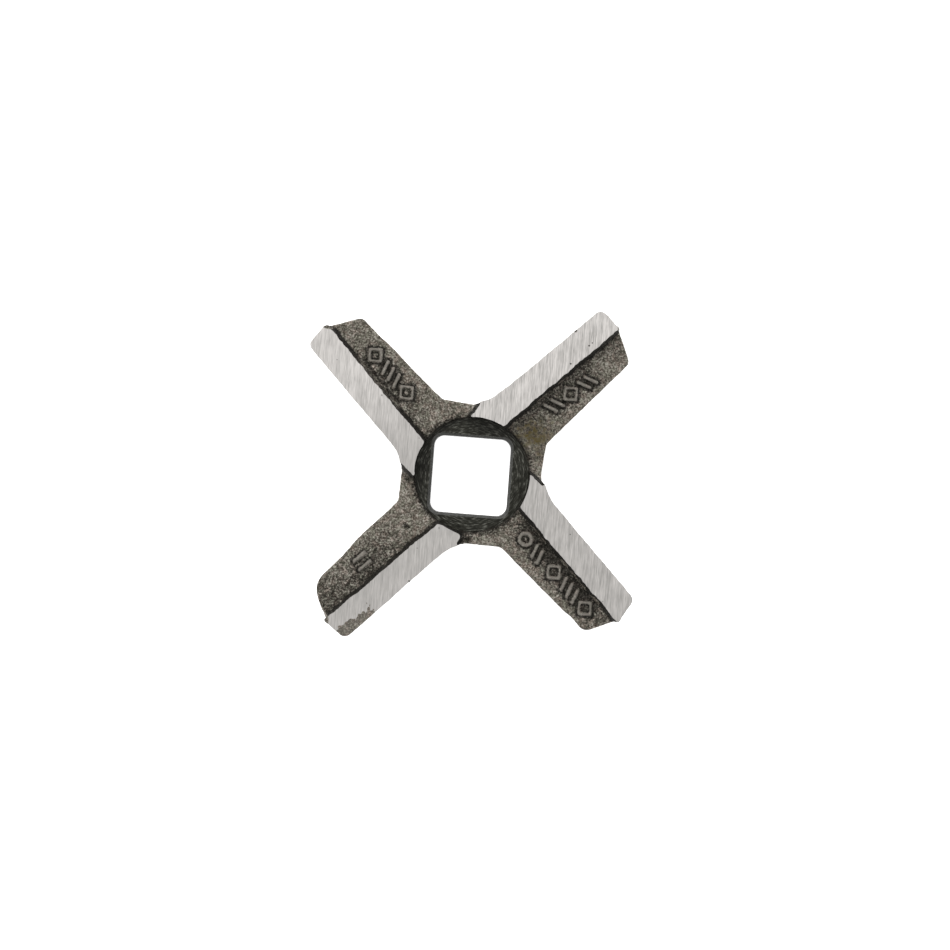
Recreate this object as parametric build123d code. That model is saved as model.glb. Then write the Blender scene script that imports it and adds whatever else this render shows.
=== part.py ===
from build123d import *
import os
from math import cos, hypot, radians, sin, tan
from typing import NamedTuple

# Four-armed meat grinder knife, size 12 pattern: one steel casting.
# The frame sits on the axis of the square drive hole, at the hub's back face.
# +Z points to the ground lands, X and Y lie square to the flats of the hole.

# heights above the back face
LAND_TOP = 11.0          # the four ground lands, which run on the hole plate
BACK_HIGH = 9.0          # cast back of an arm, along the foot of its land
BACK_SLOPE = 8.0         # degrees the cast back falls away from the land
RING_FLOOR = 7.2         # turned face around the drive hole
PARTING = 8.0            # height at which the trailing flanks are widest
LAND_DEPTH = 5.0         # below this depth the metal of the arms is whole, lands and backs alike
UNDER_ROOT = 2.6         # underside of the arms beside the boss
UNDER_TIP = 4.6          # underside of the arms at their tips

# hub
DRIVE_SQUARE = 12.7      # half-inch square drive
DRIVE_CORNER = 1.7       # corner radius of the square
DRIVE_BREAK = 0.4        # chamfer at both mouths of the hole
RING_RADIUS = 9.45       # turned recess that clears the end of the worm shaft
RING_CENTRE = (0.24, 0.18)  # it was turned a little off the square's centre
BOSS_RADIUS = 10.0       # round boss on the back
BOSS_FOOT = 0.7          # fillet between the boss and the arms

# slopes of the cast flanks, in degrees from upright
LEAD_RAKE = 13.0         # undercut below the cutting edge
TRAIL_DRAFT = 4.0
WEB_DRAFT = 3.0
END_DRAFT = 2.0
LAND_WALL_DRAFT = 16.0   # wall between a land and the lower cast back

# radii
ROOT_TRAIL = 1.4
LAND_CORNER = 0.5        # inner corners of a land, beside the hub
TIP_STEP = 0.3           # where the end of the land meets the end of the back
CAST_EDGE = 0.35         # rounded upper edges of the cast backs
WALL_FOOT = 0.5          # fillet along the foot of a land's wall

# an arm's edges are lines: offset from its centre line at these two distances out
NEAR = 15.0
FAR = 30.0


class Arm(NamedTuple):
    """One arm, as cast: the four differ a little. Offsets are to the leading side."""

    heading: float       # direction of the centre line, degrees from +X
    lead: tuple          # cutting edge at NEAR and FAR
    land: tuple          # trailing edge of the land at NEAR and FAR
    trail: tuple         # trailing flank at NEAR and FAR
    land_end: tuple      # reach of the land at offsets 3 and 6
    back_end: tuple      # reach of the cast back at offset 0, and its slope
    root_lead: float     # radius that sweeps the web into the cutting edge
    tip_lead: float      # radius of the leading corner
    tip_trail: float     # radius of the trailing corner
    land_start: tuple    # where the land begins, at offsets 2.5 and 6
    inner: tuple         # offset of the land's inner flank at 6.5 and 9 out
    web: tuple           # distance of the web behind the arm, 1 and 5 off its middle


ARMS = (
    Arm(heading=45, lead=(7.05, 6.84), land=(2.59, 2.46), trail=(-4.09, -3.14),
        land_end=(34.10, 33.94), back_end=(33.18, 0.40),
        root_lead=7.4, tip_lead=1.1, tip_trail=1.2,
        land_start=(4.0, 4.0), inner=(7.30, 7.80), web=(11.64, 11.96)),
    Arm(heading=135, lead=(6.36, 6.26), land=(2.04, 1.76), trail=(-4.52, -3.49),
        land_end=(33.96, 33.50), back_end=(33.00, 0.49),
        root_lead=5.4, tip_lead=1.2, tip_trail=0.9,
        land_start=(4.0, 4.0), inner=(7.05, 7.20), web=(11.81, 12.14)),
    Arm(heading=225, lead=(6.67, 6.86), land=(2.46, 2.42), trail=(-4.42, -3.40),
        land_end=(33.35, 32.98), back_end=(32.58, 0.38),
        root_lead=5.4, tip_lead=1.2, tip_trail=2.0,
        land_start=(9.1, 7.6), inner=(6.20, 6.90), web=(11.40, 11.56)),
    Arm(heading=315, lead=(7.34, 7.22), land=(2.81, 2.73), trail=(-3.72, -2.61),
        land_end=(33.76, 33.06), back_end=(32.64, 0.39),
        root_lead=8.6, tip_lead=1.3, tip_trail=1.6,
        land_start=(4.0, 4.0), inner=(7.55, 7.75), web=(11.23, 11.31)),
)


def place(heading, out, side):
    """Point `out` along a heading and `side` to its left."""
    a = radians(heading)
    return (out * cos(a) - side * sin(a), out * sin(a) + side * cos(a))


def long_line(arm, pair, shift=0.0):
    """Two points of an arm's edge line, moved sideways by shift."""
    return (place(arm.heading, NEAR, pair[0] + shift), place(arm.heading, FAR, pair[1] + shift))


def meet(first, second):
    """Where two lines, each given by two points, cross."""
    (ax, ay), (bx, by) = first
    (cx, cy), (dx, dy) = second
    ux, uy = bx - ax, by - ay
    vx, vy = dx - cx, dy - cy
    t = ((cx - ax) * vy - (cy - ay) * vx) / (ux * vy - uy * vx)
    return (ax + t * ux, ay + t * uy)


def web_line(arm, height):
    """Side of the hub behind an arm."""
    inset = (PARTING - height) * tan(radians(WEB_DRAFT))
    heading = arm.heading - 45
    return (place(heading, arm.web[0] - inset, 1), place(heading, arm.web[1] - inset, 5))


def arm_corners(index, height):
    """Corners of one arm at a height, leading root first, each with its radius."""
    arm = ARMS[index]
    ahead = ARMS[(index + 1) % len(ARMS)]
    below = PARTING - height
    end_in = (LAND_TOP - height) * tan(radians(END_DRAFT))
    lead = long_line(arm, arm.lead, -(LAND_TOP - height) * tan(radians(LEAD_RAKE)))
    trail = long_line(arm, arm.trail, below * tan(radians(TRAIL_DRAFT)))
    step = arm.land[1] - 0.3
    land_end = (place(arm.heading, arm.land_end[0] - end_in, 3),
                place(arm.heading, arm.land_end[1] - end_in, 6))
    reach = arm.back_end[0] - end_in
    back_end = (place(arm.heading, reach, 0),
                place(arm.heading, reach + step * arm.back_end[1], step))
    return (
        (meet(lead, web_line(ahead, height)), arm.root_lead),
        (meet(lead, land_end), arm.tip_lead),
        (meet(land_end, back_end), TIP_STEP),
        (meet(trail, back_end), arm.tip_trail),
        (meet(trail, web_line(arm, height)), ROOT_TRAIL),
    )


def outline(height):
    """Plan of the whole casting at a height."""
    corners = []
    for index in reversed(range(len(ARMS))):
        corners += arm_corners(index, height)
    face = make_face(Polyline(*[point for point, _ in corners], close=True))
    for point, radius in corners:
        corner = face.vertices().sort_by_distance(point)[0]
        face = fillet(corner, radius)
    return Pos(0, 0, height) * face


def starts_clear(arm):
    """True where the land starts clear of the turned recess, which trims the other lands."""
    return arm.land_start[0] > RING_RADIUS / 2


def land_block(arm):
    """Ground land: its wall leans out towards the foot, the other sides are cut by the arm."""
    wall = long_line(arm, arm.land)
    start = (place(arm.heading, arm.land_start[0], 2.5), place(arm.heading, arm.land_start[1], 6))
    flank = (place(arm.heading, 6.5, arm.inner[0]), place(arm.heading, 9, arm.inner[1]))
    wall_corner = meet(wall, start)
    flank_corner = meet(flank, start)
    face = make_face(Polyline(
        wall_corner,
        land_foot(arm, 45),
        place(arm.heading, 45, 16),
        place(arm.heading, 9, 16),
        flank[1],
        flank_corner,
        close=True,
    ))
    if starts_clear(arm):
        for at in (wall_corner, flank_corner):
            face = fillet(face.vertices().sort_by_distance(at)[0], LAND_CORNER)
    return extrude(Pos(0, 0, LAND_TOP) * face, -LAND_DEPTH, taper=-LAND_WALL_DRAFT)


def land_foot(arm, out):
    """Point on the trailing edge of an arm's land, `out` along the arm."""
    near, far = long_line(arm, arm.land)
    return meet((near, far), (place(arm.heading, out, 0), place(arm.heading, out, 9)))


def lowered(index):
    """Space above one cast back: from its own land round to the land of the arm behind."""
    arm = ARMS[index]
    behind = ARMS[index - 1]
    sector = make_face(Polyline(
        (0, 0),
        land_foot(arm, 4),
        land_foot(arm, 45),
        place(arm.heading - 45, 70, 0),
        land_foot(behind, 45),
        land_foot(behind, 4),
        close=True,
    ))
    prism = extrude(Pos(0, 0, LAND_TOP - LAND_DEPTH) * sector, LAND_DEPTH)
    turn = Pos(*land_foot(arm, 4), BACK_HIGH) * Rot(0, 0, arm.heading) * Rot(BACK_SLOPE, 0, 0)
    above = turn * Box(160, 160, 40, align=(Align.CENTER, Align.CENTER, Align.MIN))
    return prism & above


def underside():
    """Space below the arms: a shallow cone that thins them towards the tips."""
    slope = (UNDER_TIP - UNDER_ROOT) / (35 - BOSS_RADIUS)
    far = 45
    section = Plane.XZ * make_face(Polyline(
        (0, -2),
        (far, -2),
        (far, UNDER_ROOT + slope * (far - BOSS_RADIUS)),
        (0, UNDER_ROOT - slope * BOSS_RADIUS),
        close=True,
    ))
    return revolve(section, Axis.Z)


def add_boss(knife):
    """Round boss on the back, widening in a fillet where it meets the arms."""
    tall = UNDER_ROOT + 2
    knife += Cylinder(BOSS_RADIUS, tall, align=(Align.CENTER, Align.CENTER, Align.MIN))
    foot = knife.edges().sort_by_distance((-BOSS_RADIUS, 0, UNDER_ROOT))[0]
    return fillet(foot, BOSS_FOOT)


def round_back(knife, arm, rim):
    """Rounded upper edges of one cast back, all along the outside of the casting."""
    middle = (*place(arm.heading, 22, -1), BACK_HIGH - 0.5)
    back = knife.faces().sort_by_distance(middle)[0]
    outer = []
    for edge in back.edges():
        at = edge @ 0.5
        if rim.distance_to(Vertex(at.X, at.Y, PARTING)) < 0.45:
            outer.append(edge)
    return fillet(outer, CAST_EDGE)


def round_foot(knife, arm):
    """Fillet between the wall of a land and the cast back beside it."""
    lean = (LAND_TOP - BACK_HIGH) * tan(radians(LAND_WALL_DRAFT))
    near, far = long_line(arm, arm.land, -lean)
    at = ((2 * near[0] + far[0]) / 3, (2 * near[1] + far[1]) / 3, BACK_HIGH)
    return fillet(knife.edges().sort_by_distance(at)[0], WALL_FOOT)


def drive_hole():
    """Square hole with rounded corners and broken edges at both mouths."""
    square = RectangleRounded(DRIVE_SQUARE, DRIVE_SQUARE, DRIVE_CORNER)
    side = DRIVE_SQUARE + 2 * DRIVE_BREAK
    mouth = RectangleRounded(side, side, DRIVE_CORNER + DRIVE_BREAK)
    hole = extrude(Pos(0, 0, -1) * square, LAND_TOP + 2)
    top = loft([Pos(0, 0, RING_FLOOR - DRIVE_BREAK) * square, Pos(0, 0, RING_FLOOR) * mouth])
    back = loft([Pos(0, 0, 0) * mouth, Pos(0, 0, DRIVE_BREAK) * square])
    return hole + top + back


def casting():
    """Hub, four arms, lowered backs and boss, all in one."""
    knife = loft([outline(UNDER_ROOT - 1.2), outline(LAND_TOP)], ruled=True)
    lands = [land_block(arm) for arm in ARMS]
    for index in range(len(ARMS)):
        knife -= lowered(index) - lands[index] - lands[index - 1]
    knife -= underside()
    knife = add_boss(knife)
    rim = outline(PARTING).wire()
    for arm in ARMS:
        knife = round_back(knife, arm, rim)
    return knife


def turn_recess(knife):
    """Recess turned around the hole, with the feet of the land walls rounded."""
    for arm in ARMS:
        if not starts_clear(arm):
            knife = round_foot(knife, arm)
    knife -= Pos(*RING_CENTRE, RING_FLOOR) * extrude(Circle(RING_RADIUS), LAND_TOP)
    for arm in ARMS:
        if starts_clear(arm):
            knife = round_foot(knife, arm)
    return knife


def main():
    knife = turn_recess(casting())
    knife -= drive_hole()
    print("grinder_knife", round(knife.volume / 1000, 2), "cm3", "solids", len(knife.solids()))
    print("sound", knife.is_valid, "box", knife.bounding_box().size)
    swing = 2 * max(hypot(v.X, v.Y) for v in knife.vertices())
    print("swing", round(swing, 1), "mm")
    os.makedirs("parts", exist_ok=True)
    export_step(knife, "parts/grinder_knife.step")


main()
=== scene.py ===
# %% [markdown]
# # A meat grinder knife
#
# The knife of a meat grinder is one casting: a hub with a square hole, and four arms
# that sweep round against the hole plate. Only a few of its faces are machined. The
# four lands that touch the plate are ground flat, the recess around the hole is turned
# on a lathe, and the square is broached. All the rest keeps the skin of the mould.
#
# This lesson makes it in that order: first a raw casting with some metal to spare,
# then its rough skin, then the grinding, the turning and the broaching. Each step
# leaves the surface that the real step leaves, so edges come out crisp where a tool
# has passed and soft where only the mould has been.

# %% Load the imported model
from math import cos, hypot, inf, pi, radians, sin, tan

import bmesh
import bpy
from mathutils import Matrix, Vector, noise
from mathutils.bvhtree import BVHTree
from mathutils.kdtree import KDTree


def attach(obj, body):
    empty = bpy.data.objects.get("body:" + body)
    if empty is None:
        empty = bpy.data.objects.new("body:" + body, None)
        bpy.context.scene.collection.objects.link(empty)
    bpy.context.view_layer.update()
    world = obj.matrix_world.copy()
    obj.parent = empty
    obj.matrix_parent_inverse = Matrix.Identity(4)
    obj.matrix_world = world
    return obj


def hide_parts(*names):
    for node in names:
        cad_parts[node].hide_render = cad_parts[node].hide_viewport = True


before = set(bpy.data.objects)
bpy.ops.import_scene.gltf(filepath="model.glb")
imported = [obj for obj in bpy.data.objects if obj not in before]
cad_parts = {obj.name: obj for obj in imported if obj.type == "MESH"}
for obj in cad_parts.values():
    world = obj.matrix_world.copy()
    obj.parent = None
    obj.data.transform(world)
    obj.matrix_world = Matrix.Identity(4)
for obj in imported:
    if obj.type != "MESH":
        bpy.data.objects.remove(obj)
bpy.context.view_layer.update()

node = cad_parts["grinder_knife"]
print("casting in the frame:", len(node.data.vertices), "points")

# %% [markdown]
# ## Sizes
#
# The lesson works in millimetres and turns to metres at the very end, because the
# tools that cut and remesh like numbers near one. The heights and radii here are the
# knife's own. An arm is described by its heading, and by how far the leading edge of
# the land and its trailing edge lie to the side of the arm's centre line.

# %% Sizes in millimetres
MM = 0.001               # a millimetre in metres
LAND_TOP = 11.0          # ground lands, above the back face
BACK_HIGH = 9.0          # cast back of an arm, along the foot of its land
BACK_SLOPE = 8.0         # degrees that the back falls away from the land
RING_FLOOR = 7.2         # turned floor of the recess
RING_RADIUS = 9.45       # wall of the recess
RING_CENTRE = (0.24, 0.18)  # it was turned a little off the square's centre
SQUARE_HALF = 6.35       # half-inch square drive, from its centre to a flat
SQUARE_CORNER = 1.7      # rounded corners of the square
MOUTH_BREAK = 0.4        # broken edge at both mouths of the hole
SPARE = 0.6              # metal left on the lands for grinding
TURN_SPARE = 0.22        # and on the floor of the recess for turning
WALL_SPARE = 0.12        # the tool stays this far from the recess's wall
PLUG_RADIUS = 9.9        # plug that fills the hole while the casting is raw
PLUG_FOOT = -0.3         # it reaches below the back face
SAME = 0.002             # faces nearer than this to a tool's plane were cut by it

# heading, then (offset at NEAR, offset at FAR) of the leading and trailing edge of the land
NEAR, FAR = 15.0, 30.0
ARMS = (
    (45, (7.05, 6.84), (2.59, 2.46)),
    (135, (6.36, 6.26), (2.04, 1.76)),
    (225, (6.67, 6.86), (2.46, 2.42)),
    (315, (7.34, 7.22), (2.81, 2.73)),
)


def on_arm(heading, out, side, up=0.0):
    """A point `out` along an arm and `side` towards its leading edge."""
    a = radians(heading)
    return Vector((out * cos(a) - side * sin(a), out * sin(a) + side * cos(a), up))


def in_arm(heading, point):
    """How far out and how far to the side of an arm's centre line a point lies."""
    a = radians(heading)
    return (point.x * cos(a) + point.y * sin(a), point.y * cos(a) - point.x * sin(a))


def edge_at(pair, out):
    """Offset of an arm's edge at a distance out."""
    return pair[0] + (pair[1] - pair[0]) * (out - NEAR) / (FAR - NEAR)


def back_height(land, out, side):
    """Height of an arm's sloping back, which falls away from the foot of the land."""
    return BACK_HIGH - (edge_at(land, out) - side) * tan(radians(BACK_SLOPE))


def rise(value, low, high):
    """0 below `low`, 1 above `high`, and a smooth step between."""
    t = min(max((value - low) / (high - low), 0.0), 1.0)
    return t * t * (3.0 - 2.0 * t)


# %% [markdown]
# ## The camera
#
# The knife lies on its back and is seen from straight above, from half a metre away,
# turned by a few degrees. From so far away its upright walls hardly show.

# %% Camera
EYE = (0.000738, 0.000177, 0.5)
TURN = radians(4.4)
LENS = 113.66            # millimetres, for a sensor 36 mm wide

camera = bpy.data.objects.new("camera", bpy.data.cameras.new("camera"))
bpy.context.scene.collection.objects.link(camera)
camera.location = EYE
camera.rotation_euler = (0.0, 0.0, TURN)
camera.data.sensor_width = 36.0
camera.data.lens = LENS
camera.data.clip_start = 0.01
bpy.context.scene.camera = camera
print("camera looks down from", EYE[2], "m")

# %% [markdown]
# ## The raw casting
#
# The lesson starts from a copy of the casting in the frame, which gives the hub, the
# arms and the boss their shape, and undoes its machining. A foundry leaves spare metal
# wherever a tool will cut. The mould has no drive hole, so a plug fills it here, and it
# raises the floor of the recess too, which is cast a little too shallow. The lands
# stand too high. The plug reaches a little below the boss as well, for the back face
# is also cut flat.

# %% Raw casting: the shape with metal to spare
WELD = 0.002             # points of the copy nearer than this become one


def to_object(name, bm):
    """A mesh object from a bmesh, which is freed."""
    mesh = bpy.data.meshes.new(name)
    bm.to_mesh(mesh)
    bm.free()
    thing = bpy.data.objects.new(name, mesh)
    bpy.context.scene.collection.objects.link(thing)
    return thing


def join(bm, part):
    """Copy one bmesh into another, and free it."""
    mesh = bpy.data.meshes.new("part")
    part.to_mesh(mesh)
    part.free()
    bm.from_mesh(mesh)
    bpy.data.meshes.remove(mesh)


def add_disc(bm, radius, low, high, at=(0.0, 0.0), segments=96):
    """A short closed cylinder between two heights."""
    middle = Matrix.Translation((at[0], at[1], (low + high) / 2))
    bmesh.ops.create_cone(bm, cap_ends=True, segments=segments, radius1=radius,
                          radius2=radius, depth=high - low, matrix=middle)


raw = bmesh.new()
raw.from_mesh(node.data)
raw.transform(Matrix.Scale(1.0 / MM, 4) @ node.matrix_world)
bmesh.ops.remove_doubles(raw, verts=raw.verts, dist=WELD)
tops = [f for f in raw.faces if all(v.co.z > LAND_TOP - 0.01 for v in f.verts)]
grown = bmesh.ops.extrude_face_region(raw, geom=tops)
bmesh.ops.translate(raw, vec=(0, 0, SPARE),
                    verts=[e for e in grown["geom"] if isinstance(e, bmesh.types.BMVert)])
bmesh.ops.delete(raw, geom=tops, context="FACES")
add_disc(raw, PLUG_RADIUS, PLUG_FOOT, RING_FLOOR + TURN_SPARE)
print("raw casting:", len(raw.faces), "faces, lands", SPARE, "mm too high")

# %% [markdown]
# ## Marks in the mould
#
# The backs of the arms carry small raised marks, pressed into the mould before the
# metal is poured. They are plain rows of slanting bars and lozenges, with a ring on the
# fourth arm, and the third arm has only two bars, laid along it. Each mark is built
# flat at the origin, then laid on the sloping back of its arm and sunk halfway into it,
# so that the remesh below welds them into one skin. They are kept in a bmesh of their
# own for a moment, to make a search tree of them: it will tell how near any point of
# the skin is to a mark.

# %% Raised marks on the backs
MARK_HIGH = 0.42         # how far a mark stands out of the back
MARK_WIDE = 0.51         # width of a bar or of a loop's band
PIP = 0.6                # radius of a pip, in widths
RING_STEPS = 28          # straight sides of a ring
SLANT = 24               # degrees that a bar leans


def back_place(heading, land, out, side, turn=0.0):
    """Where a mark lies on the sloping back of an arm."""
    spot = on_arm(heading, out, side, back_height(land, out, side))
    lie = Matrix.Rotation(radians(heading), 4, "Z") @ Matrix.Rotation(radians(BACK_SLOPE), 4, "X")
    return Matrix.Translation(spot) @ lie @ Matrix.Rotation(radians(turn), 4, "Z")


def add_bar(bm, where, length):
    """A straight raised bar, across the arm unless it is turned."""
    size = Matrix.Diagonal((MARK_WIDE, length, 2 * MARK_HIGH, 1.0))
    bmesh.ops.create_cube(bm, size=1.0, matrix=where @ size)


def add_loop(bm, where, radius, steps):
    """A raised loop: a bar's section spun round. Four steps give a lozenge."""
    loop = bmesh.new()
    bmesh.ops.create_grid(loop, x_segments=1, y_segments=1, size=0.5)
    loop.transform(Matrix.Translation((radius, 0, 0)) @ Matrix.Rotation(pi / 2, 4, "X")
                   @ Matrix.Diagonal((MARK_WIDE, 2 * MARK_HIGH, 1.0, 1.0)))
    section = loop.faces[:]
    bmesh.ops.spin(loop, geom=section + loop.edges[:] + loop.verts[:], cent=(0, 0, 0),
                   axis=(0, 0, 1), angle=2 * pi, steps=steps, use_merge=True)
    bmesh.ops.remove_doubles(loop, verts=loop.verts, dist=0.001)
    inside = [f for f in loop.faces if abs(f.normal.y) > 0.99 and abs(f.calc_center_median().y) < 0.001]
    bmesh.ops.delete(loop, geom=inside, context="FACES_ONLY")
    bmesh.ops.recalc_face_normals(loop, faces=loop.faces)
    loop.transform(where)
    join(bm, loop)


def add_pip(bm, where):
    """A small round dot."""
    bmesh.ops.create_uvsphere(bm, u_segments=12, v_segments=8, radius=MARK_WIDE * PIP, matrix=where)


# each arm's marks: kind, distance out, offset to the side, size, turn in degrees
MARKS = (
    (("bar", 17.2, -0.1, 2.6, SLANT), ("bar", 18.6, -0.2, 2.6, SLANT), ("lozenge", 21.2, -0.5, 1.35, 0),
     ("bar", 23.8, -0.8, 2.6, SLANT), ("bar", 25.2, -0.9, 2.5, SLANT)),
    (("lozenge", 17.1, -0.9, 1.35, 0), ("bar", 19.7, -0.9, 2.6, SLANT), ("bar", 21.1, -0.9, 2.6, SLANT),
     ("bar", 22.5, -0.9, 2.6, SLANT), ("lozenge", 25.1, -1.0, 1.35, 0)),
    (("bar", 22.5, -1.7, 2.6, 88), ("bar", 22.7, -0.1, 2.6, 88)),
    (("ring", 13.8, 0.1, 1.0, 0), ("pip", 13.8, 0.1, 0.0, 0), ("bar", 16.2, 0.0, 2.5, SLANT),
     ("bar", 17.5, 0.0, 2.5, SLANT), ("lozenge", 20.9, 0.1, 1.35, 0), ("bar", 23.4, 0.1, 2.6, SLANT),
     ("bar", 24.8, 0.1, 2.6, SLANT), ("bar", 26.2, 0.1, 2.6, SLANT), ("lozenge", 28.7, 0.1, 1.35, 0)),
)
marks = bmesh.new()
for (heading, _, land), row in zip(ARMS, MARKS):
    for kind, out, side, size, turn in row:
        where = back_place(heading, land, out, side, turn)
        if kind == "bar":
            add_bar(marks, where, size)
        elif kind == "pip":
            add_pip(marks, where)
        else:
            add_loop(marks, where, size, 4 if kind == "lozenge" else RING_STEPS)
marks.normal_update()
marks_tree = BVHTree.FromBMesh(marks)
join(raw, marks)
print("marks:", sum(len(row) for row in MARKS))

# %% [markdown]
# ## One skin
#
# Casting gives one unbroken skin over every lump that went into the mould, with each
# edge a little rounded. A voxel remesh does the same: it reads the overlapping solids
# as one volume and wraps it in even, small squares. A light smoothing pass takes off
# the steps that the voxels leave.

# %% Weld everything into one cast skin
VOXEL = 0.19             # side of the small squares


def applied(thing):
    """The mesh of an object with its modifiers worked in; the object is removed."""
    graph = bpy.context.evaluated_depsgraph_get()
    mesh = bpy.data.meshes.new_from_object(thing.evaluated_get(graph))
    old = thing.data
    bpy.data.objects.remove(thing)
    bpy.data.meshes.remove(old)
    return mesh


def to_bmesh(mesh):
    """A bmesh from a mesh, which is removed."""
    bm = bmesh.new()
    bm.from_mesh(mesh)
    bpy.data.meshes.remove(mesh)
    return bm


lump = to_object("lump", raw)
wrap = lump.modifiers.new("wrap", "REMESH")
wrap.mode = "VOXEL"
wrap.voxel_size = VOXEL
wrap.adaptivity = 0.0
skin = to_bmesh(applied(lump))
bmesh.ops.smooth_vert(skin, verts=skin.verts, factor=0.5,
                      use_axis_x=True, use_axis_y=True, use_axis_z=True)
print("skin:", len(skin.faces), "faces")

# %% [markdown]
# ## The rough skin of the mould
#
# Sand and shell moulds leave a skin that is never quite flat: broad, shallow waves
# with a fine grain on top. The waves are moved into the mesh here, and the finest
# grain is left to the material. A few places are more than that: a pattern swells or
# falls short a little, a speck of sand leaves a pit, and a knock leaves a nick in an
# edge. Each of those is a soft push on the points around one spot.

# %% Waves and grain in the cast skin
def waves(point, size, seed):
    """Smooth noise from -1 to 1, with features about `size` across."""
    return noise.noise(point / size + Vector((seed, 1.7 * seed, -seed)))


# heading, out, side, height, radius of the push, and how far it goes: + is out of the metal
PUSHES = (
    (225, 19.5, -4.2, 7.5, 5.5, 0.28),      # the third arm's trailing flank swells
    (225, 31.6, -3.4, 7.0, 2.8, -0.45),     # and its corner falls short
    (225, 33.2, 2.1, 8.8, 1.7, -0.60),      # a dent in the third tip, beside the land
    (315, 28.6, -2.4, 7.5, 1.8, -0.20),     # the fourth arm's trailing flank falls short
    (315, 9.1, 8.4, 8.0, 1.4, -0.35),       # the web beside the fourth land is a little hollow
    (45, 12.6, 7.4, 10.0, 2.4, 0.22),       # the first land is fuller at its root
    (45, 33.9, 5.1, 9.0, 2.4, 0.22),        # and at its tip
    (45, 27.0, -0.4, 8.5, 0.95, 0.24),      # a round swelling beyond the first arm's marks
    (135, 23.9, -4.0, 7.0, 4.0, 0.14),      # the second arm's trailing flank swells
    (225, 13.4, -0.5, 8.4, 0.75, -0.45),    # pits left by sand
    (225, 12.5, -0.1, 8.4, 0.55, -0.30),
    (135, 31.2, -0.3, 8.6, 0.45, -0.22),
    (45, 28.4, 7.0, 11.0, 0.50, -0.50),     # nicks in the cutting edges, sharpened below
    (225, 18.8, 6.8, 11.0, 0.45, -0.40),
)
WALL_ROUGH = 2.6         # how much rougher the walls beside the lands are
WALL_REACH = 0.9         # and how far in from the wall a land is as rough


def roughness_at(point):
    """How much rougher than the rest the skin is."""
    if point.z < BACK_HIGH + 0.1:
        return 1.0
    outs = [in_arm(arm[0], point)[0] for arm in ARMS]
    heading, _, land = ARMS[outs.index(max(outs))]
    out, side = in_arm(heading, point)
    return WALL_ROUGH if side < edge_at(land, out) + WALL_REACH else 1.0


skin.normal_update()
moves = []
for v in skin.verts:
    p = v.co
    lift = 0.055 * waves(p, 3.1, 3.0) + 0.045 * waves(p, 1.1, 11.0) + 0.035 * waves(p, 0.55, 23.0)
    moves.append(v.normal * lift * roughness_at(p))
for heading, out, side, up, radius, push in PUSHES:
    spot = on_arm(heading, out, side, up)
    for i, v in enumerate(skin.verts):
        away = (v.co - spot).length
        if away < radius:
            moves[i] += v.normal * push * (1.0 - rise(away, 0.0, radius))
for v, move in zip(skin.verts, moves):
    v.co += move
print("skin roughened, with", len(PUSHES), "pushes")

# %% [markdown]
# ## What the wheel will miss
#
# On the third arm the spare metal came up short at the leading corner of the land, so
# the grinding wheel will miss it. That corner is pressed down here to about the height
# of the wheel, a little uneven, and its ragged border appears by itself when the land
# is ground. Three trailing corners at the tips are also cast a little round, and two
# nicks in the leading edges and a few pits go deeper than the wheel does. All of those
# are pressed in as small hollow cones.

# %% Corners, nicks and pits in the lands
SHORT_ARM = 2            # the arm whose leading corner is short
SHORT_FROM = 26.3        # how far out its short corner begins
SHORT_WIDE = 1.3         # how wide it is there, from the leading edge inwards
SHORT_WIDENS = 0.75      # how much wider it gets
SHORT_STRETCH = (26.4, 30.4)  # between these distances out
SHORT_BORDER = 1.2       # the metal thins over this width around it
CONE_SLOPE = 0.7         # steepness of the cones
CONE_BORDER = 0.9        # how far past its reach a cone still lowers the metal
TOP_SKIN = LAND_TOP - 0.8  # only skin above this is pressed down

# heading, out, side and reach of the rounded corners, each measured from a point past the tip
ROUND_CORNERS = ((45, 35.0, 1.6, 1.40), (135, 34.4, 0.8, 1.68), (225, 34.2, 1.6, 1.80))
# the same for the nicks, then for the pits
NICKS = ((45, 28.4, 6.95, 0.34), (225, 18.7, 6.85, 0.30))
PITS = ((45, 28.5, 3.5, 0.17), (45, 29.2, 3.5, 0.14), (45, 24.3, 3.2, 0.16), (315, 17.85, 6.1, 0.13))


def short_height(point):
    """How high the spare metal came up over the short corner; elsewhere it has no limit."""
    heading, lead, _ = ARMS[SHORT_ARM]
    out, side = in_arm(heading, point)
    wide = SHORT_WIDE + SHORT_WIDENS * rise(out, *SHORT_STRETCH)
    inside = min(out - SHORT_FROM, side - edge_at(lead, out) + wide)
    if inside <= -SHORT_BORDER:
        return inf
    return LAND_TOP - 0.15 * inside + 0.13 * waves(point, 0.9, 6.5) + 0.09 * waves(point, 0.42, 9.0)


def cone_height(point, cone):
    """Height of one cone's slope at a point, and no limit away from it."""
    heading, out, side, reach = cone
    middle = on_arm(heading, out, side)
    away = hypot(point.x - middle.x, point.y - middle.y)
    return LAND_TOP + CONE_SLOPE * (away - reach) if away < reach + CONE_BORDER else inf


cones = ROUND_CORNERS + NICKS + PITS
for v in skin.verts:
    if v.co.z >= TOP_SKIN:
        v.co.z = min(v.co.z, short_height(v.co))
        v.co.z = min([v.co.z] + [cone_height(v.co, cone) for cone in cones])
print("corners pressed down:", 1 + len(ROUND_CORNERS), "nicks and pits:", len(NICKS + PITS))

# %% [markdown]
# ## A lighter underside
#
# The fine squares are worth their number on the face that shows. Low down on the arms
# and below them the skin is thinned by a Decimate modifier, which a vertex group holds
# to that part.

# %% Thin out the lower skin
UNDER = 6.6              # the skin below this height is thinned
KEEP = 0.70              # share of all the faces that is kept

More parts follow.
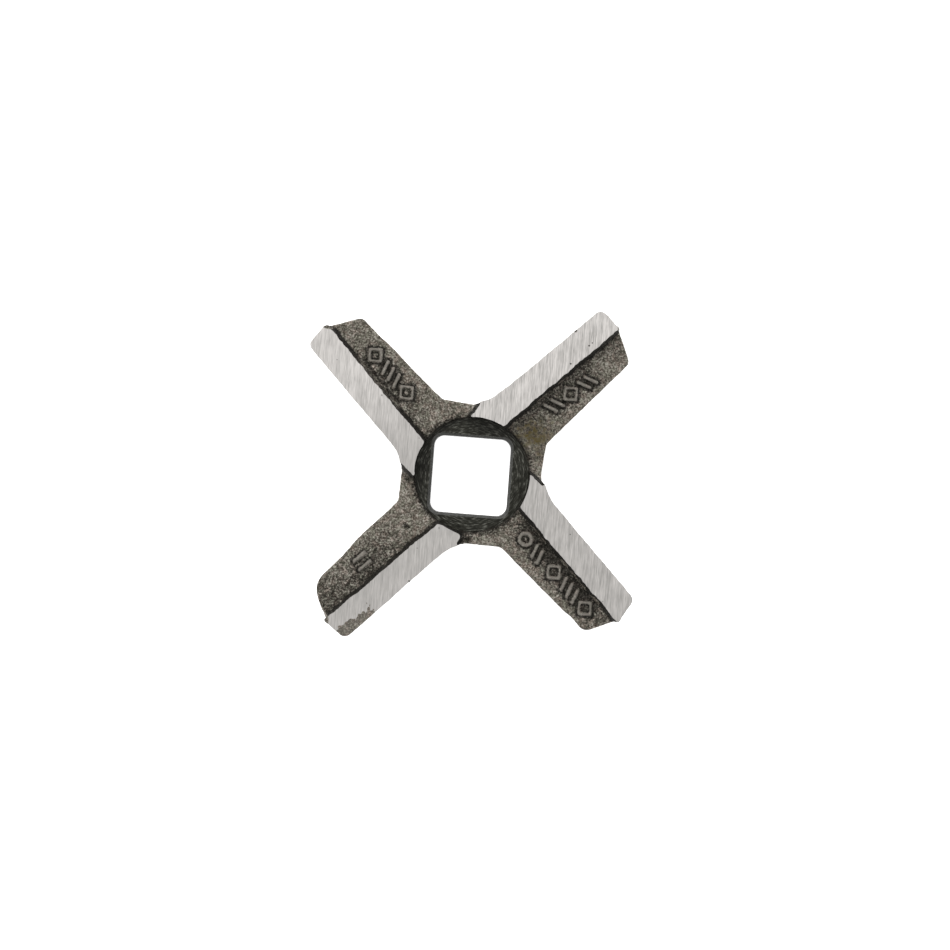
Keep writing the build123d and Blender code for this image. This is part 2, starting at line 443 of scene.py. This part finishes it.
body = to_object("body", skin)
lower = body.vertex_groups.new(name="lower")
lower.add([v.index for v in body.data.vertices if v.co.z < UNDER], 1.0, "REPLACE")
thin = body.modifiers.new("thin", "DECIMATE")
thin.ratio = KEEP
thin.vertex_group = "lower"
skin = to_bmesh(applied(body))
print("thinned skin:", len(skin.faces), "faces")

# %% [markdown]
# ## Grinding the lands and the back face
#
# A surface grinder takes everything above one plane. `bisect_plane` does the same cut,
# and the open rims it leaves are filled flat. The edge between land and casting comes
# out sharp and a little wavy, as on the real knife, because it is where a true plane
# meets a rough wall.

# %% Grind
def cut_flat(bm, height, upward):
    """Remove everything past a level plane and close the cut with a flat face."""
    facing = 1.0 if upward else -1.0
    cut = bmesh.ops.bisect_plane(bm, geom=bm.verts[:] + bm.edges[:] + bm.faces[:], dist=1e-5,
                                 plane_co=(0, 0, height), plane_no=(0, 0, facing),
                                 clear_outer=True)
    rim = [e for e in cut["geom_cut"] if isinstance(e, bmesh.types.BMEdge)]
    corners = {v for e in rim for v in e.verts}
    spots = [v.co.copy() for v in corners]
    bmesh.ops.triangle_fill(bm, use_beauty=True, use_dissolve=False, edges=rim, normal=(0, 0, facing))
    return spots


land_rim = cut_flat(skin, LAND_TOP, True)
back_rim = cut_flat(skin, 0.0, False)
print("rims of the ground faces:", len(land_rim), "and", len(back_rim), "points")

# %% [markdown]
# ## Turning the recess, broaching the square
#
# The recess and the hole are cut with boolean tools shaped like what the real tools
# sweep: a disc for the lathe, which only cleans the floor and leaves the cast wall its
# soft corners, and for the broach a rounded square that widens at both mouths, where
# the sharp edges are broken.

# %% Cutters
OVERSHOOT = 1.0          # how far the broach reaches past both faces


def broach():
    """Rounded square bar, flared at both mouths of the hole."""
    bm = bmesh.new()
    bmesh.ops.create_grid(bm, x_segments=1, y_segments=1, size=SQUARE_HALF)
    bmesh.ops.bevel(bm, geom=bm.verts[:], offset=SQUARE_CORNER, offset_type="OFFSET", segments=10,
                    profile=0.5, affect="VERTICES", material=-1, clamp_overlap=False)
    flare = (SQUARE_HALF + MOUTH_BREAK) / SQUARE_HALF
    wide = (SQUARE_HALF + MOUTH_BREAK + OVERSHOOT) / (SQUARE_HALF + MOUTH_BREAK)
    bmesh.ops.scale(bm, vec=(flare * wide, flare * wide, 1), verts=bm.verts)
    bmesh.ops.translate(bm, vec=(0, 0, -OVERSHOOT), verts=bm.verts)
    first = face = bm.faces[:][0]
    for lift, spread in ((OVERSHOOT, 1 / wide), (MOUTH_BREAK, 1 / flare),
                         (RING_FLOOR - 2 * MOUTH_BREAK, 1.0), (MOUTH_BREAK, flare), (OVERSHOOT, wide)):
        grown = bmesh.ops.extrude_face_region(bm, geom=[face])
        if face is not first:
            bmesh.ops.delete(bm, geom=[face], context="FACES_ONLY")
        verts = [e for e in grown["geom"] if isinstance(e, bmesh.types.BMVert)]
        face = [e for e in grown["geom"] if isinstance(e, bmesh.types.BMFace)][0]
        bmesh.ops.translate(bm, vec=(0, 0, lift), verts=verts)
        bmesh.ops.scale(bm, vec=(spread, spread, 1), verts=verts)
    bmesh.ops.recalc_face_normals(bm, faces=bm.faces)
    return to_object("broach", bm)


def lathe_tool():
    """Disc that the turning tool sweeps."""
    bm = bmesh.new()
    add_disc(bm, RING_RADIUS - WALL_SPARE, RING_FLOOR, LAND_TOP + 3, RING_CENTRE, segments=180)
    return to_object("lathe_tool", bm)


body = to_object("body", skin)
tools = [lathe_tool(), broach()]
for tool in tools:
    cut = body.modifiers.new(tool.name, "BOOLEAN")
    cut.operation = "DIFFERENCE"
    cut.solver = "EXACT"
    cut.object = tool
mesh = applied(body)
for tool in tools:
    bpy.data.objects.remove(tool)
print("machined:", len(mesh.polygons), "faces")

# %% [markdown]
# ## Which face has which finish
#
# The tools have left their faces at exact places, so the place of a face says how it
# was made: a land or the back face lies in a ground plane, the recess and the hole
# have their own shapes, and everything else is still the skin of the mould.

# %% Finishes by place
CAST, GROUND, TURNED, BROACHED = range(4)


def finish_of(polygon):
    """The finish of a face, from where it lies."""
    c = polygon.center
    level = abs(polygon.normal.z) > 0.9999
    if level and (abs(c.z - LAND_TOP) < SAME or abs(c.z) < SAME):
        return GROUND
    from_ring = hypot(c.x - RING_CENTRE[0], c.y - RING_CENTRE[1])
    swept = from_ring < RING_RADIUS - WALL_SPARE + 0.01
    if swept and RING_FLOOR - SAME < c.z < RING_FLOOR + TURN_SPARE:
        return TURNED
    if max(abs(c.x), abs(c.y)) < SQUARE_HALF + MOUTH_BREAK + 0.01 and c.z < RING_FLOOR:
        return BROACHED
    return CAST


count = [0, 0, 0, 0]
for polygon in mesh.polygons:
    polygon.material_index = finish_of(polygon)
    count[polygon.material_index] += 1
print("cast, ground, turned, broached faces:", count)

# %% [markdown]
# ## Grease, scale and painted shade
#
# The skin is painted darkest along the foot of each land's wall and around the raised
# marks: painted shade where the walls and marks stand over the skin, together with the
# grease and scale that stay there. The rim of the recess and a few spots near it are
# painted shade too, and on the second arm a dark line is the painted shadow of a small
# ledge. A thinner veil of grime and painted shade spreads over each back from the wall
# towards the trailing edge, heaviest on the fourth arm. The tops of the marks are
# wiped clean, and so are the leading flanks and the tips, which meet the meat first.
# How much of each a point has is stored on the mesh as two numbers, `grime_and_shade`
# and `worn`, for the material to read. A search tree of the points on the lands' rims
# gives the distance to the nearest wall.

# %% Grime and painted shade: the veils over the backs
WALL_SHADE_WIDE = 0.50         # painted shade and grime at the foot of the walls, seen from above
WALL_SHADE_FADE = 0.38         # width over which it ends
SHADE_THICK = 0.92             # how thick the painted shade and grime are around the recess and the marks
LEDGE_SHADOW_ARM = 1             # the arm with a dark line between its land and its marks: the painted shadow of a small ledge
CORNER_OUT = 24.0        # on the short arm, skin farther out than this and
CORNER_IN = 0.7          # in from the wall by this counts as the short corner

# each arm's veil of grime and painted shade: how thick; how far from the wall it starts to thin
# and ends; how far out it begins and is full; which share of it is wiped off the tip, and from where to
# where
VEILS = (
    (0.44, (0.5, 6.2), (9.0, 13.0), 0.75, (25.0, 28.0)),
    (0.36, (0.5, 5.4), (9.0, 13.0), 0.75, (25.0, 28.0)),
    (0.56, (0.8, 8.0), (13.0, 20.0), 0.0, (29.0, 31.0)),
    (0.89, (1.4, 5.1), (9.0, 13.0), 0.5, (29.0, 31.0)),
)
# spots of painted shade beside the recess, on the web by the lands' roots and over a sand pit on the
# third arm: place, radius, how thick
SHADE_SPOTS = (((0.2, -10.3), 1.7, 0.75), ((-10.2, -0.9), 1.4, 0.95), ((-0.5, 10.2), 1.0, 0.6),
           ((-10.1, -8.9), 0.6, 1.0), ((-9.5, -9.2), 0.5, 0.9))

rim_tree = KDTree(len(land_rim))
for i, spot in enumerate(land_rim):
    rim_tree.insert((spot.x, spot.y, 0.0), i)
rim_tree.balance()


def arm_of(point):
    """Index of the arm whose land a point of a land's rim belongs to."""
    middles = []
    for heading, lead, land in ARMS:
        out, side = in_arm(heading, point)
        middles.append(abs(side - (lead[0] + land[0]) / 2) if out > 3 else inf)
    return middles.index(min(middles))


rim_arm = [arm_of(spot) for spot in land_rim]


def beside_marks(out):
    """1 along the marks of the arm with the painted ledge shadow, 0 at its hub end and its tip."""
    return rise(out, 14.5, 18.0) * (1.0 - rise(out, 25.0, 28.5))


def veil_at(arm, out, away):
    """Thin grime and painted shade on an arm's back, `away` from the foot of the land's wall."""
    thick, across, root, wiped, tip = VEILS[arm]
    veil = thick * (1.0 - rise(away, *across)) * rise(out, *root)
    veil *= 1.0 - wiped * rise(out, *tip)
    # the painted shadow of a small ledge, between the land and the marks
    if arm == LEDGE_SHADOW_ARM:
        line = rise(away, 0.6, 0.8) * (1.0 - rise(away, 1.05, 1.5))
        veil = max(veil, 0.9 * line * beside_marks(out))
    return veil


# %% [markdown]
# A point's number is the thickest of what lies there: the painted shade and grime at the
# foot of the wall, the veil, the painted shade at the rim of the recess, a spot of painted
# shade, or the painted shade and grime in the hollow beside a mark. Three kinds of place
# are set apart. The short corner is only rubbed, the rounded corners carry half the grime
# and shade, and the clean sides carry none.

# %% Grime, painted shade and wear on each point
def grime_and_shade_side(heading, point, normal):
    """1 where grime and painted shade go, 0 on the leading flanks, the tips and low on the sides."""
    out = in_arm(heading, point)[0]
    to_tip, to_lead = in_arm(heading, normal)
    keeps = rise(point.z, 6.0, 7.4)
    open_flank = max(rise(out, 10.0, 13.2), 1.0 - rise(point.z, 7.4, 9.4))
    keeps *= 1.0 - rise(to_lead, 0.25, 0.60) * open_flank
    return keeps * (1.0 - rise(to_tip, 0.30, 0.70) * rise(out, 29.5, 31.5))


def at_round_corner(point):
    """True on the small slope of a rounded corner at a tip."""
    if point.z <= LAND_TOP - 1.5:
        return False
    for heading, out, side, reach in ROUND_CORNERS:
        tip = on_arm(heading, out, side)
        if hypot(point.x - tip.x, point.y - tip.y) < reach:
            return True
    return False


def shade_grime_and_wear(point, normal):
    """How dark with grime and painted shade, and how worn, the skin is at a point, each from 0 to 1."""
    _, index, away = rim_tree.find((point.x, point.y, 0.0))
    arm = rim_arm[index]
    heading, _, land = ARMS[arm]
    out, side = in_arm(heading, point)
    keeps = grime_and_shade_side(heading, point, normal)
    if arm == SHORT_ARM and out > CORNER_OUT and side > edge_at(land, out) + CORNER_IN:
        return 0.0, 0.35 * rise(point.z, LAND_TOP - 3.0, LAND_TOP - 0.8)
    if at_round_corner(point):
        return 0.45 * keeps, 0.0

    # painted shade and grime along the foot of the land's wall
    ragged = 0.20 * waves(point, 1.0, 31.0) + 0.10 * waves(point, 0.45, 37.0)
    grime_and_shade = 1.0 - rise(away + ragged, WALL_SHADE_WIDE, WALL_SHADE_WIDE + WALL_SHADE_FADE)
    # the top of the second arm's ledge gets less painted shade than its painted shadow
    if arm == LEDGE_SHADOW_ARM:
        grime_and_shade *= 1.0 - 0.28 * beside_marks(out)
    if side < edge_at(land, out):
        grime_and_shade = max(grime_and_shade, veil_at(arm, out, away))
    # painted shade around the rim of the recess
    from_ring = hypot(point.x - RING_CENTRE[0], point.y - RING_CENTRE[1]) + ragged
    grime_and_shade = max(grime_and_shade, SHADE_THICK * (1.0 - rise(from_ring, RING_RADIUS - 0.10, RING_RADIUS + 1.10)))
    # spots of painted shade
    for spot, radius, thick in SHADE_SPOTS:
        apart = hypot(point.x - spot[0], point.y - spot[1])
        grime_and_shade = max(grime_and_shade, thick * (1.0 - rise(apart, 0.0, radius)))

    worn = 0.0
    # painted shade and grime in the hollow round each mark, none on its rubbed crest
    distance = marks_tree.find_nearest(point, 1.2)[3]
    if distance is not None:
        crest = rise(point.z - back_height(land, out, side), 0.10, 0.30)
        grime_and_shade = max(grime_and_shade, SHADE_THICK * (1.0 - rise(distance, 0.25, 0.78))) * (1.0 - crest)
        worn = crest * (1.0 - rise(distance, 0.1, 0.3))
    return grime_and_shade * keeps, worn


# grime with painted shade, and wear, are stored on each point of the mesh
grime_and_shade = mesh.attributes.new("grime_and_shade", "FLOAT", "POINT")
worn = mesh.attributes.new("worn", "FLOAT", "POINT")
for i, v in enumerate(mesh.vertices):
    grime_and_shade.data[i].value, worn.data[i].value = shade_grime_and_wear(v.co, v.normal)
print("grime and wear stored on", len(mesh.vertices), "points")

# %% [markdown]
# ## The finished mesh
#
# The mesh goes back to metres, with its place in the mesh and the object at the
# origin. The cast skin is shaded smooth, and the machined faces stay flat, with a
# sharp edge wherever the two meet.

# %% Place the knife in the frame
mesh.name = "knife"
mesh.transform(Matrix.Scale(MM, 4))
for polygon in mesh.polygons:
    polygon.use_smooth = polygon.material_index == CAST
knife = bpy.data.objects.new("knife", mesh)
bpy.context.scene.collection.objects.link(knife)
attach(knife, "root")
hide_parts("grinder_knife")
print("triangles:", sum(len(p.vertices) - 2 for p in mesh.polygons))

# %% [markdown]
# ## Helpers for materials
#
# Every finish is a short chain of nodes in the knife's own coordinates, in metres, so
# a pattern keeps its real size. A few helpers keep the chains readable.

# %% Material helpers
def new_material(name):
    """A new material, its node tree and its shader."""
    material = bpy.data.materials.new(name)
    material.use_nodes = True
    return material, material.node_tree, material.node_tree.nodes["Principled BSDF"]


def add(tree, kind, **values):
    """A node, with its settings and the constants of its input sockets."""
    item = tree.nodes.new(kind)
    for name, value in values.items():
        if name in item.inputs:
            item.inputs[name].default_value = value
        else:
            setattr(item, name, value)
    return item


def feed(tree, value, socket):
    """Give a socket its value: another socket, a colour or a number."""
    if isinstance(value, bpy.types.NodeSocket):
        tree.links.new(value, socket)
    elif isinstance(value, tuple):
        socket.default_value = (*value, 1.0)
    else:
        socket.default_value = value


def coordinates(tree, scale=(1.0, 1.0, 1.0), turn=0.0):
    """The knife's coordinates, scaled along its axes and then turned about Z."""
    where = add(tree, "ShaderNodeTexCoord")
    mapping = add(tree, "ShaderNodeMapping", vector_type="POINT")
    mapping.inputs["Rotation"].default_value = (0.0, 0.0, turn)
    mapping.inputs["Scale"].default_value = scale
    tree.links.new(where.outputs["Object"], mapping.inputs["Vector"])
    return mapping.outputs["Vector"]


def axes(tree, vector):
    """The three numbers of a vector, by name."""
    item = add(tree, "ShaderNodeSeparateXYZ")
    tree.links.new(vector, item.inputs[0])
    return item.outputs


def grain(tree, vector, size, detail=2.0, rough=0.5):
    """Noise from 0 to 1 with features of `size` metres."""
    item = add(tree, "ShaderNodeTexNoise", Scale=1.0 / size, Detail=detail, Roughness=rough)
    tree.links.new(vector, item.inputs["Vector"])
    return item.outputs["Fac"]


def ramp(tree, value, stops):
    """Colour ramp through (position, (r, g, b)) stops."""
    item = add(tree, "ShaderNodeValToRGB")
    elements = item.color_ramp.elements
    while len(elements) < len(stops):
        elements.new(0.5)
    for element, (position, colour) in zip(elements, stops):
        element.position = position
        element.color = (*colour, 1.0)
    tree.links.new(value, item.inputs["Fac"])
    return item.outputs["Color"]


def blend(tree, factor, first, second, mode="MIX"):
    """Mix of two colours."""
    item = add(tree, "ShaderNodeMix", data_type="RGBA", blend_type=mode)
    for value, socket in ((factor, item.inputs[0]), (first, item.inputs[6]), (second, item.inputs[7])):
        feed(tree, value, socket)
    return item.outputs[2]


def work(tree, operation, first, second=0.0, third=0.0, clamp=False):
    """One step of arithmetic on numbers."""
    item = add(tree, "ShaderNodeMath", operation=operation, use_clamp=clamp)
    for value, socket in zip((first, second, third), item.inputs):
        feed(tree, value, socket)
    return item.outputs[0]


def mixed(tree, start, parts, clamp=False):
    """A start value plus each (noise, weight), the noises centred on zero."""
    total = start
    for value, weight in parts:
        total = work(tree, "MULTIPLY_ADD", work(tree, "SUBTRACT", value, 0.5), weight, total, clamp=clamp)
    return total


def smooth_rise(tree, value, low, high):
    """0 where a number is below `low`, 1 above `high`, and a smooth step between."""
    item = add(tree, "ShaderNodeMapRange", interpolation_type="SMOOTHSTEP")
    tree.links.new(value, item.inputs["Value"])
    item.inputs["From Min"].default_value = low
    item.inputs["From Max"].default_value = high
    return item.outputs["Result"]


def bump(tree, shader, heights):
    """Chain of bumps, each (height socket, distance in metres), into the shader."""
    normal = None
    for height, distance in heights:
        item = add(tree, "ShaderNodeBump", Strength=1.0, Distance=distance)
        tree.links.new(height, item.inputs["Height"])
        if normal is not None:
            tree.links.new(normal, item.inputs["Normal"])
        normal = item.outputs["Normal"]
    tree.links.new(normal, shader.inputs["Normal"])


# %% [markdown]
# ## Cast skin
#
# Steel castings come out of the mould grey-brown, with a sandpaper grain under half a
# millimetre across that sparkles where single grains face the light. Three sizes of
# noise add up to it, so that there are specks, blotches and broad patches. Some
# blotches lean to pink and some to green.

# %% Cast skin: grain and colour
cast, tree, shader = new_material("cast_skin")
where = coordinates(tree)
fine = grain(tree, where, 0.00030, 3.0, 0.75)
middle = grain(tree, where, 0.00085, 2.0, 0.55)
broad = grain(tree, where, 0.0026, 3.0, 0.55)
speckle = mixed(tree, fine, ((middle, 0.20), (broad, 0.13)))
colour = ramp(tree, speckle, ((0.34, (0.030, 0.026, 0.019)), (0.50, (0.142, 0.127, 0.102)),
                              (0.69, (0.48, 0.45, 0.40))))
tint = ramp(tree, grain(tree, where, 0.0008, 1.0),
            ((0.36, (1.05, 0.98, 0.965)), (0.50, (1.0, 1.0, 1.0)), (0.64, (0.975, 1.01, 0.965))))
colour = blend(tree, 1.0, colour, tint, "MULTIPLY")

# %% [markdown]
# A brown stain lies on the hub beside the recess. The tops of the marks are rubbed
# bare. The veil of grime and painted shade is thin, so it shows the grain through: its
# number is shaken by the same noise before it darkens the colour, which breaks its border
# up into specks. Last, the ambient occlusion node darkens small hollows.

# %% Cast skin: stain, wear, grime and painted shade
STAIN_AT = (0.0100, 0.0071, 0.0086)
STAIN_REACH = 0.0030
STAIN_BROWN = (0.088, 0.068, 0.020)
RUBBED_STEEL = (0.26, 0.242, 0.217)

from_stain = add(tree, "ShaderNodeVectorMath", operation="DISTANCE")
from_stain.inputs[1].default_value = STAIN_AT
tree.links.new(where, from_stain.inputs[0])
stain = work(tree, "MULTIPLY_ADD", from_stain.outputs["Value"], -1.0 / STAIN_REACH, 1.0)
stain = work(tree, "MULTIPLY", mixed(tree, stain, ((middle, 3.6), (fine, 3.2))), 0.85, clamp=True)
colour = blend(tree, stain, colour, STAIN_BROWN)

rubbed = add(tree, "ShaderNodeAttribute", attribute_name="worn").outputs["Fac"]
rubbed = work(tree, "MULTIPLY", rubbed, mixed(tree, 0.58, ((fine, -1.6),)))
colour = blend(tree, rubbed, colour, RUBBED_STEEL)

# the grime and painted shade from the mesh darken the colour and make it rougher
shade_and_dirt = add(tree, "ShaderNodeAttribute", attribute_name="grime_and_shade").outputs["Fac"]
thin_part = work(tree, "MULTIPLY", work(tree, "MULTIPLY", shade_and_dirt, work(tree, "SUBTRACT", 1.0, shade_and_dirt)), 4.0)
shaken = mixed(tree, 0.0, ((fine, -2.1), (middle, -0.8)))
shade_and_dirt = work(tree, "MULTIPLY_ADD", shaken, thin_part, shade_and_dirt, clamp=True)
# the dark colour of grime and painted shade
shade_and_grime_black = ramp(tree, fine, ((0.42, (0.007, 0.0065, 0.005)), (0.56, (0.014, 0.013, 0.0105)),
                          (0.68, (0.050, 0.046, 0.040))))
colour = blend(tree, work(tree, "MULTIPLY", shade_and_dirt, 0.95), colour, shade_and_grime_black)

hollow = add(tree, "ShaderNodeAmbientOcclusion", samples=8, only_local=True, Distance=0.0007)
depth = ramp(tree, hollow.outputs["AO"], ((0.45, (0.25, 0.24, 0.22)), (0.92, (1.0, 1.0, 1.0))))
colour = blend(tree, 1.0, colour, depth, "MULTIPLY")
tree.links.new(colour, shader.inputs["Base Color"])
shader.inputs["Metallic"].default_value = 0.35
tree.links.new(work(tree, "MULTIPLY_ADD", shade_and_dirt, 0.40, 0.52), shader.inputs["Roughness"])
shader.inputs["Specular IOR Level"].default_value = 0.35
bump(tree, shader, ((fine, 0.00010), (middle, 0.00008)))
mesh.materials.append(cast)
print("cast skin:", len(tree.nodes), "nodes")

# %% [markdown]
# ## Ground lands
#
# The wheel of a surface grinder leaves fine, nearly straight lines across the four
# lands, all one way, since they are ground in one pass. Three noises make them, drawn
# out along the Y axis: fine hairs, shorter scratches and broader streaks. The mapping
# node scales before it turns, so a turn doesn't slant the lines. It only reads the
# noise in another direction, so that the scratches don't repeat the hairs. Clouds of a
# few millimetres keep the faces from looking even. Painted light makes the lands
# brighter towards +Y, with stronger lines there, so the first two lands are the
# brightest; on the first the lines stand out most. Besides the larger pits that are
# in the mesh, some fine ones of the casting are left as dark specks: cells of a Voronoi
# pattern, of which only a few are kept.

# %% Ground faces
HAIR_TURN = radians(-14.4)  # the hairs and the streaks are read at this turn
SCRATCH_TURN = radians(16.0)  # and the scratches at this one
PIT_CELL = 0.0011        # size of the pattern's cells
PIT_CHANCE = 0.93        # cells with a number above this have a pit
PIT_SIZE = 0.13          # radius of a pit, in cells
PIT_DARK = (0.10, 0.095, 0.09)

ground, tree, shader = new_material("ground")
where = coordinates(tree)
hair = grain(tree, coordinates(tree, (1.0, 0.05, 1.0), HAIR_TURN), 0.00017, 3.0, 0.65)
scratch = grain(tree, coordinates(tree, (1.0, 0.10, 1.0), SCRATCH_TURN), 0.00020, 2.0, 0.6)
streak = grain(tree, coordinates(tree, (1.0, 0.14, 1.0), HAIR_TURN), 0.00070, 3.0, 0.6)
cloud = grain(tree, where, 0.0021, 2.0, 0.5)
place = axes(tree, where)
# painted light: brighter lands, with stronger lines, towards +Y
painted_light_half = smooth_rise(tree, place["Y"], 0.003, 0.014)
strong_half = smooth_rise(tree, place["X"], -0.008, 0.008)
strong = work(tree, "MULTIPLY_ADD", strong_half, 0.35, 1.0)
strong = work(tree, "MULTIPLY", strong, work(tree, "MULTIPLY_ADD", painted_light_half, 0.6, 1.0))
lines = mixed(tree, 0.0, ((hair, 1.05), (scratch, 0.55), (streak, 0.45), (cloud, 0.20)))
lines = work(tree, "MULTIPLY", lines, strong)
tone = work(tree, "ADD", lines, work(tree, "MULTIPLY_ADD", painted_light_half, 0.32, 0.32))
colour = ramp(tree, tone, ((0.0, (0.302, 0.294, 0.282)), (1.0, (0.715, 0.690, 0.668))))
pits = add(tree, "ShaderNodeTexVoronoi", Scale=1.0 / PIT_CELL)
tree.links.new(where, pits.inputs["Vector"])
cell = add(tree, "ShaderNodeSeparateColor")
tree.links.new(pits.outputs["Color"], cell.inputs[0])
chosen = work(tree, "GREATER_THAN", cell.outputs[0], PIT_CHANCE)
dot = work(tree, "LESS_THAN", pits.outputs["Distance"], PIT_SIZE)
dot = work(tree, "MULTIPLY", work(tree, "MULTIPLY", chosen, dot), 0.55)
colour = blend(tree, dot, colour, PIT_DARK)
tree.links.new(colour, shader.inputs["Base Color"])
shader.inputs["Metallic"].default_value = 0.6
tree.links.new(work(tree, "MULTIPLY_ADD", hair, 0.25, 0.25), shader.inputs["Roughness"])
bump(tree, shader, ((hair, 0.000003),))
mesh.materials.append(ground)
print("ground faces:", len(tree.nodes), "nodes")

# %% [markdown]
# ## The turned recess and the broached hole
#
# The turned recess is painted dark. What shows on it are short bright arcs round the
# hole, so the noise is read in polar coordinates: the distance from the centre, and the
# angle, which is squeezed to draw it out into arcs.

# %% Turned recess
ARC_SQUEEZE = 0.0014     # metres for each radian: the less, the longer the arcs

turned, tree, shader = new_material("turned")
place = axes(tree, coordinates(tree))
x = work(tree, "SUBTRACT", place["X"], RING_CENTRE[0] * MM)
y = work(tree, "SUBTRACT", place["Y"], RING_CENTRE[1] * MM)
radius = work(tree, "SQRT", work(tree, "ADD", work(tree, "MULTIPLY", x, x), work(tree, "MULTIPLY", y, y)))
angle = work(tree, "ARCTAN2", y, x)
polar = add(tree, "ShaderNodeCombineXYZ")
tree.links.new(radius, polar.inputs["X"])
tree.links.new(work(tree, "MULTIPLY", angle, ARC_SQUEEZE), polar.inputs["Y"])
arcs = grain(tree, polar.outputs[0], 0.00021, 3.0, 0.62)
colour = ramp(tree, arcs, ((0.42, (0.008, 0.008, 0.005)), (0.51, (0.022, 0.022, 0.016)),
                           (0.58, (0.054, 0.054, 0.045)), (0.70, (0.16, 0.16, 0.138))))
tree.links.new(colour, shader.inputs["Base Color"])
shader.inputs["Metallic"].default_value = 0.1
shader.inputs["Roughness"].default_value = 0.55
shader.inputs["Specular IOR Level"].default_value = 0.25
bump(tree, shader, ((arcs, 0.00004),))
mesh.materials.append(turned)
print("turned recess:", len(tree.nodes), "nodes")

# %% [markdown]
# The walls of the square carry the strokes of the broach, drawn out along the hole.
# They are dark too, with the broken edge of the upper mouth painted a little lighter.

# %% Broached hole
LIGHTER_MOUTH = (0.22, 0.22, 0.21)

broached, tree, shader = new_material("broached")
strokes = grain(tree, coordinates(tree, (1.0, 1.0, 0.05)), 0.00025, 3.0, 0.6)
colour = ramp(tree, strokes, ((0.35, (0.040, 0.040, 0.037)), (0.65, (0.080, 0.080, 0.075))))
height = axes(tree, coordinates(tree))["Z"]
mouth = work(tree, "GREATER_THAN", height, (RING_FLOOR - MOUTH_BREAK - 0.02) * MM)
colour = blend(tree, work(tree, "MULTIPLY", mouth, strokes), colour, LIGHTER_MOUTH)
tree.links.new(colour, shader.inputs["Base Color"])
shader.inputs["Metallic"].default_value = 0.5
shader.inputs["Roughness"].default_value = 0.5
bump(tree, shader, ((strokes, 0.00002),))
mesh.materials.append(broached)
print("materials:", [m.name for m in mesh.materials])

# %% [markdown]
# ## Floor and light
#
# The knife lies on a plain white surface that is lit from below as well, as on a light
# table, so no shadow falls on it.

# %% Floor
FLOOR_GLOW = 0.9         # light that the floor gives off by itself

sheet = bmesh.new()
bmesh.ops.create_grid(sheet, x_segments=1, y_segments=1, size=1.5)
floor = to_object("floor", sheet)
paper, tree, shader = new_material("paper")
mottle = ramp(tree, grain(tree, coordinates(tree), 0.02),
              ((0.3, (0.90, 0.90, 0.90)), (0.7, (0.92, 0.92, 0.92))))
tree.links.new(mottle, shader.inputs["Base Color"])
shader.inputs["Roughness"].default_value = 0.9
shader.inputs["Emission Color"].default_value = (1.0, 1.0, 1.0, 1.0)
shader.inputs["Emission Strength"].default_value = FLOOR_GLOW
floor.data.materials.append(paper)
print("floor laid")

# %% [markdown]
# Wide, soft studio light comes from above. The sky is brightest overhead, so that flat
# ground faces shine and steep walls stay dark. The softbox adds to it from one side,
# and isn't itself mirrored in the metal.

# %% Light
SKY_STRENGTH = 1.13
KEY_AT, KEY_SIZE, KEY_POWER = (-0.25, 0.45, 0.55), 0.35, 4.3

world = bpy.data.worlds.new("studio")
bpy.context.scene.world = world
world.use_nodes = True
sky = world.node_tree
up = axes(sky, add(sky, "ShaderNodeTexCoord").outputs["Generated"])["Z"]
glow = ramp(sky, up, ((0.0, (0.16, 0.16, 0.165)), (0.75, (0.50, 0.50, 0.50)),
                      (0.97, (1.0, 0.99, 0.975))))
sky.links.new(glow, sky.nodes["Background"].inputs["Color"])
sky.nodes["Background"].inputs["Strength"].default_value = SKY_STRENGTH


def softbox(name, spot, size, power):
    """A square area light aimed at the knife."""
    light = bpy.data.lights.new(name, "AREA")
    light.size = size
    light.energy = power
    lamp = bpy.data.objects.new(name, light)
    lamp.location = spot
    lamp.rotation_euler = Vector(spot).to_track_quat("Z", "Y").to_euler()
    lamp.visible_glossy = False
    bpy.context.scene.collection.objects.link(lamp)


softbox("key", KEY_AT, KEY_SIZE, KEY_POWER)
bpy.context.scene.view_settings.view_transform = "Standard"
print("light: a softbox and the sky")

# %% [markdown]
# ## Finish
#
# The visual model has to stay inside the box of the CAD model.

# %% Finish
print("finished")
